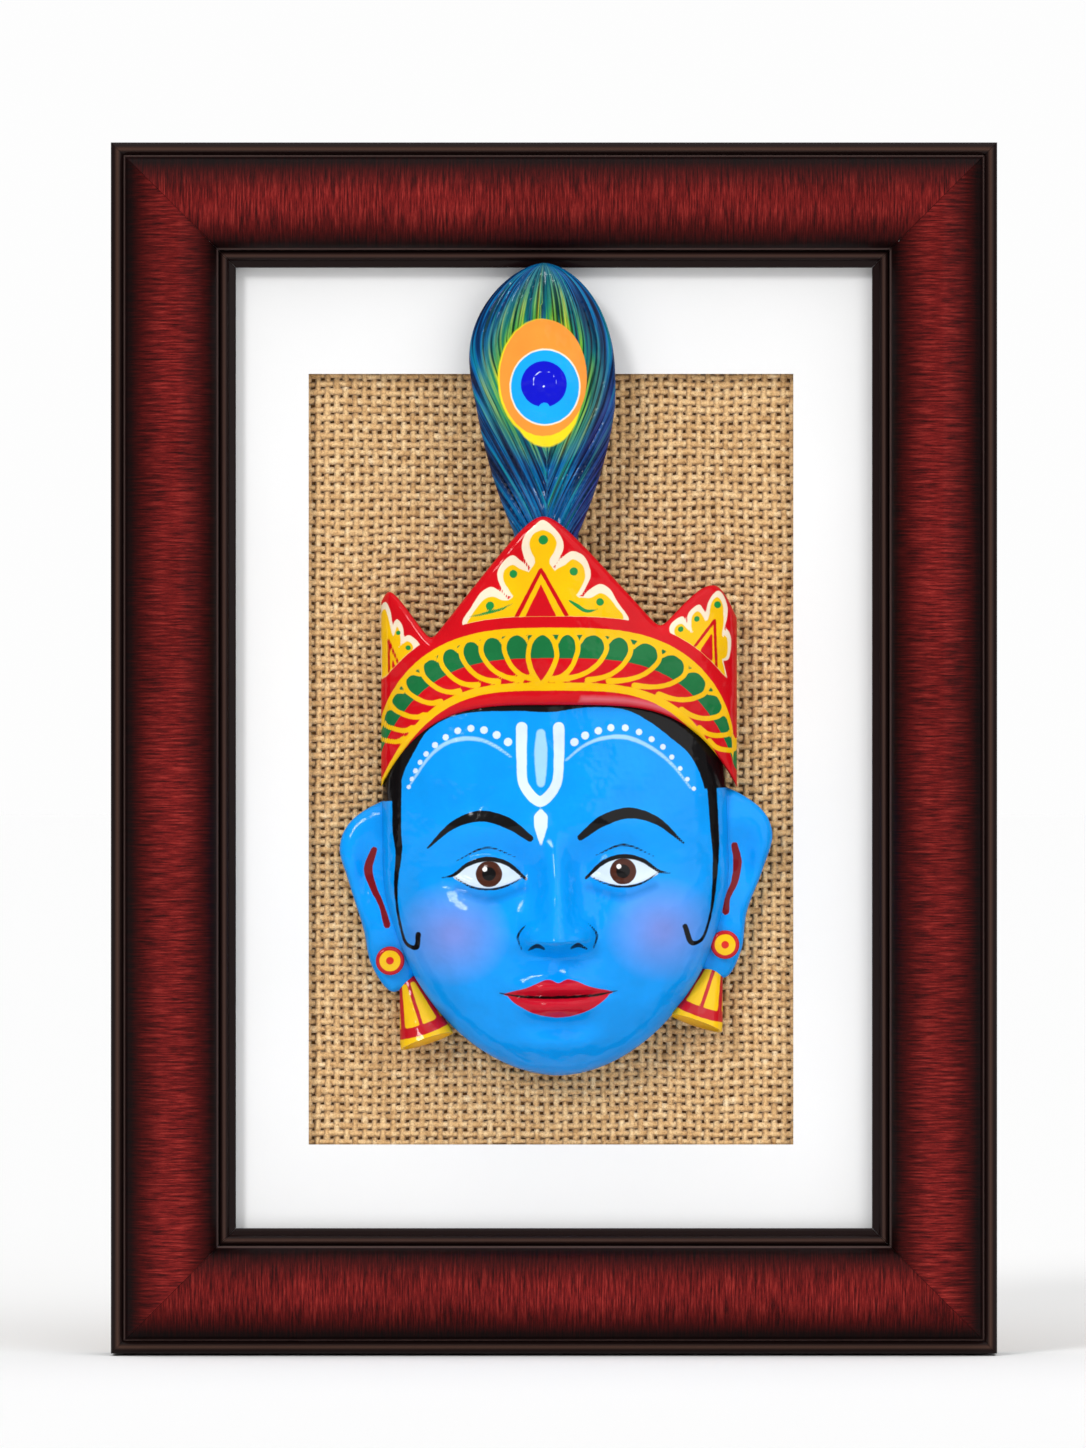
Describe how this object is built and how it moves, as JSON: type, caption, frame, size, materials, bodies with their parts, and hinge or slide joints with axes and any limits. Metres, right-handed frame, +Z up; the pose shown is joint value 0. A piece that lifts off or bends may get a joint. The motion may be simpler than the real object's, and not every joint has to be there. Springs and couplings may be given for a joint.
{
  "type": "framed krishna mask",
  "caption": "Hanging picture frame with a painted, crowned relief mask and peacock feather mounted on hessian inside a white card window.",
  "frame": {"origin": "where the wall nail bears in the middle notch of the hanger on the back of the top rail", "axes": "+Z up the height of the frame, +X to the viewer's right, -Y out of the front towards the viewer, +Y into the wall"},
  "size_m": [0.1486, 0.031, 0.2032],
  "materials": {
    "mahogany_lacquer": "gloss lacquer over dark red mahogany veneer, with black beads",
    "mat_card": "matt white mount card",
    "hessian": "coarse plain-woven jute",
    "hardboard": "brown pressed fibre board",
    "mask_enamel": "hand-painted gloss enamel on a moulded shell",
    "brassed_steel": "brass-coloured plating",
    "point_steel": "dark spring steel"
  },
  "bodies": {
    "root": {"frame_top": "mahogany_lacquer", "frame_right": "mahogany_lacquer", "frame_bottom": "mahogany_lacquer", "frame_left": "mahogany_lacquer", "mat_board": "mat_card", "hessian_panel": "hessian", "backing_board": "hardboard", "mask": "mask_enamel", "hanger": "brassed_steel", "hanger_nail_left": "brassed_steel", "hanger_nail_right": "brassed_steel", "point_top_1": "point_steel", "point_top_2": "point_steel", "point_right_1": "point_steel", "point_right_2": "point_steel", "point_bottom_1": "point_steel", "point_bottom_2": "point_steel", "point_left_1": "point_steel", "point_left_2": "point_steel"}
  },
  "joints": []
}
